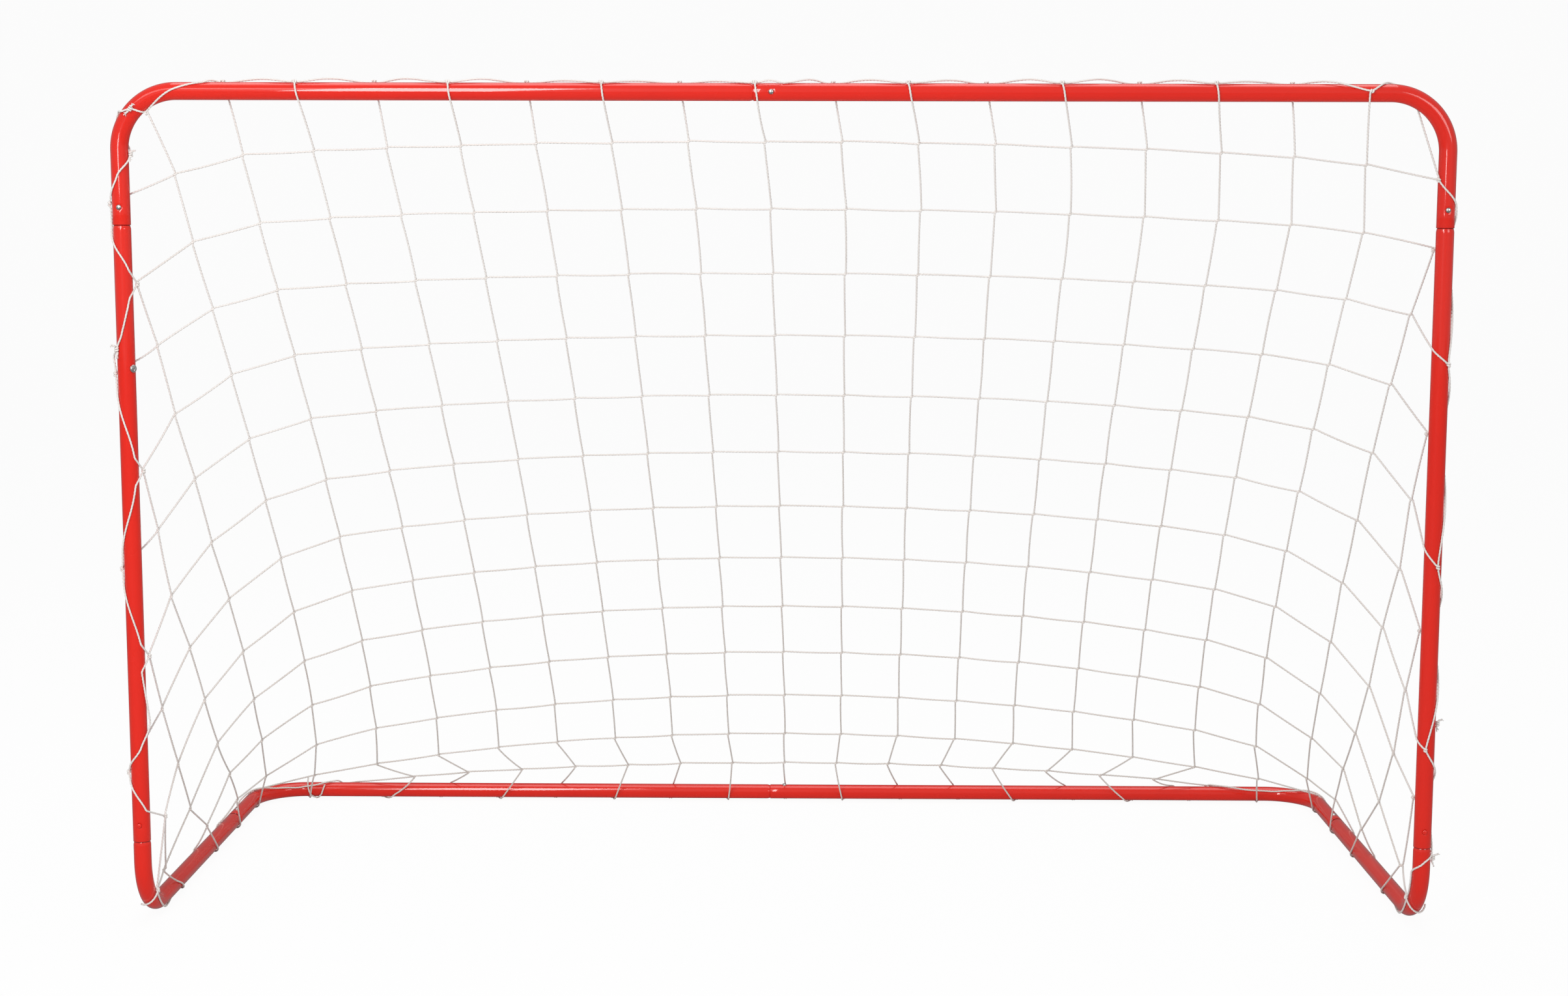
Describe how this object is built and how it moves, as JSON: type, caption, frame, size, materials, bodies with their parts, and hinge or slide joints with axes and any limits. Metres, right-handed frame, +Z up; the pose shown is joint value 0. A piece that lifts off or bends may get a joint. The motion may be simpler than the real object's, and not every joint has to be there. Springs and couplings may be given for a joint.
{
  "type": "mini goal",
  "caption": "Knock-down mini goal: bent steel tubes joined by snap buttons, with a knotted net woven on to the crossbar, uprights and ground frame.",
  "frame": {"origin": "on the floor, at the centre of the goal's footprint", "axes": "+Z up, -Y out of the open mouth, +X across the mouth to the right seen from the front"},
  "size_m": [1.9038, 0.7766, 1.2244],
  "materials": {
    "red_paint": "gloss powder coat",
    "zinc_steel": "zinc plated",
    "white_twine": "twisted twine, matte"
  },
  "bodies": {
    "frame": {"crossbar_left": "red_paint", "crossbar_right": "red_paint", "upright_left": "red_paint", "upright_right": "red_paint", "foot_left": "red_paint", "foot_right": "red_paint", "base_left": "red_paint", "base_right": "red_paint", "net": "white_twine", "upright_screw": "zinc_steel", "crossbar_button_spring": "zinc_steel", "rear_button_spring": "zinc_steel", "upper_button_left_spring": "zinc_steel", "upper_button_right_spring": "zinc_steel", "lower_button_left_spring": "zinc_steel", "lower_button_right_spring": "zinc_steel", "rail_button_left_spring": "zinc_steel", "rail_button_right_spring": "zinc_steel"},
    "crossbar_catch": {"crossbar_button": "zinc_steel"},
    "rear_catch": {"rear_button": "zinc_steel"},
    "upper_catch_left": {"upper_button_left": "zinc_steel"},
    "upper_catch_right": {"upper_button_right": "zinc_steel"},
    "lower_catch_left": {"lower_button_left": "zinc_steel"},
    "lower_catch_right": {"lower_button_right": "zinc_steel"},
    "rail_catch_left": {"rail_button_left": "zinc_steel"},
    "rail_catch_right": {"rail_button_right": "zinc_steel"}
  },
  "joints": [
    {"name": "crossbar_button_press", "type": "slide", "parent": "frame", "child": "crossbar_catch", "axis": [0, 1, 0], "range_m": [0, 0.0038], "stiffness_N_per_m": 600, "springref_m": -0.003, "deforming": ["crossbar_button_spring"]},
    {"name": "rear_button_press", "type": "slide", "parent": "frame", "child": "rear_catch", "axis": [0, 0, -1], "range_m": [0, 0.0038], "stiffness_N_per_m": 600, "springref_m": -0.003, "deforming": ["rear_button_spring"]},
    {"name": "upper_button_left_press", "type": "slide", "parent": "frame", "child": "upper_catch_left", "axis": [0, 1, 0], "range_m": [0, 0.0038], "stiffness_N_per_m": 600, "springref_m": -0.003, "deforming": ["upper_button_left_spring"]},
    {"name": "upper_button_right_press", "type": "slide", "parent": "frame", "child": "upper_catch_right", "axis": [0, 1, 0], "range_m": [0, 0.0038], "stiffness_N_per_m": 600, "springref_m": -0.003, "deforming": ["upper_button_right_spring"]},
    {"name": "lower_button_left_press", "type": "slide", "parent": "frame", "child": "lower_catch_left", "axis": [0, 1, 0], "range_m": [0, 0.0038], "stiffness_N_per_m": 600, "springref_m": -0.003, "deforming": ["lower_button_left_spring"]},
    {"name": "lower_button_right_press", "type": "slide", "parent": "frame", "child": "lower_catch_right", "axis": [0, 1, 0], "range_m": [0, 0.0038], "stiffness_N_per_m": 600, "springref_m": -0.003, "deforming": ["lower_button_right_spring"]},
    {"name": "rail_button_left_press", "type": "slide", "parent": "frame", "child": "rail_catch_left", "axis": [0, 0, -1], "range_m": [0, 0.0038], "stiffness_N_per_m": 600, "springref_m": -0.003, "deforming": ["rail_button_left_spring"]},
    {"name": "rail_button_right_press", "type": "slide", "parent": "frame", "child": "rail_catch_right", "axis": [0, 0, -1], "range_m": [0, 0.0038], "stiffness_N_per_m": 600, "springref_m": -0.003, "deforming": ["rail_button_right_spring"]}
  ]
}
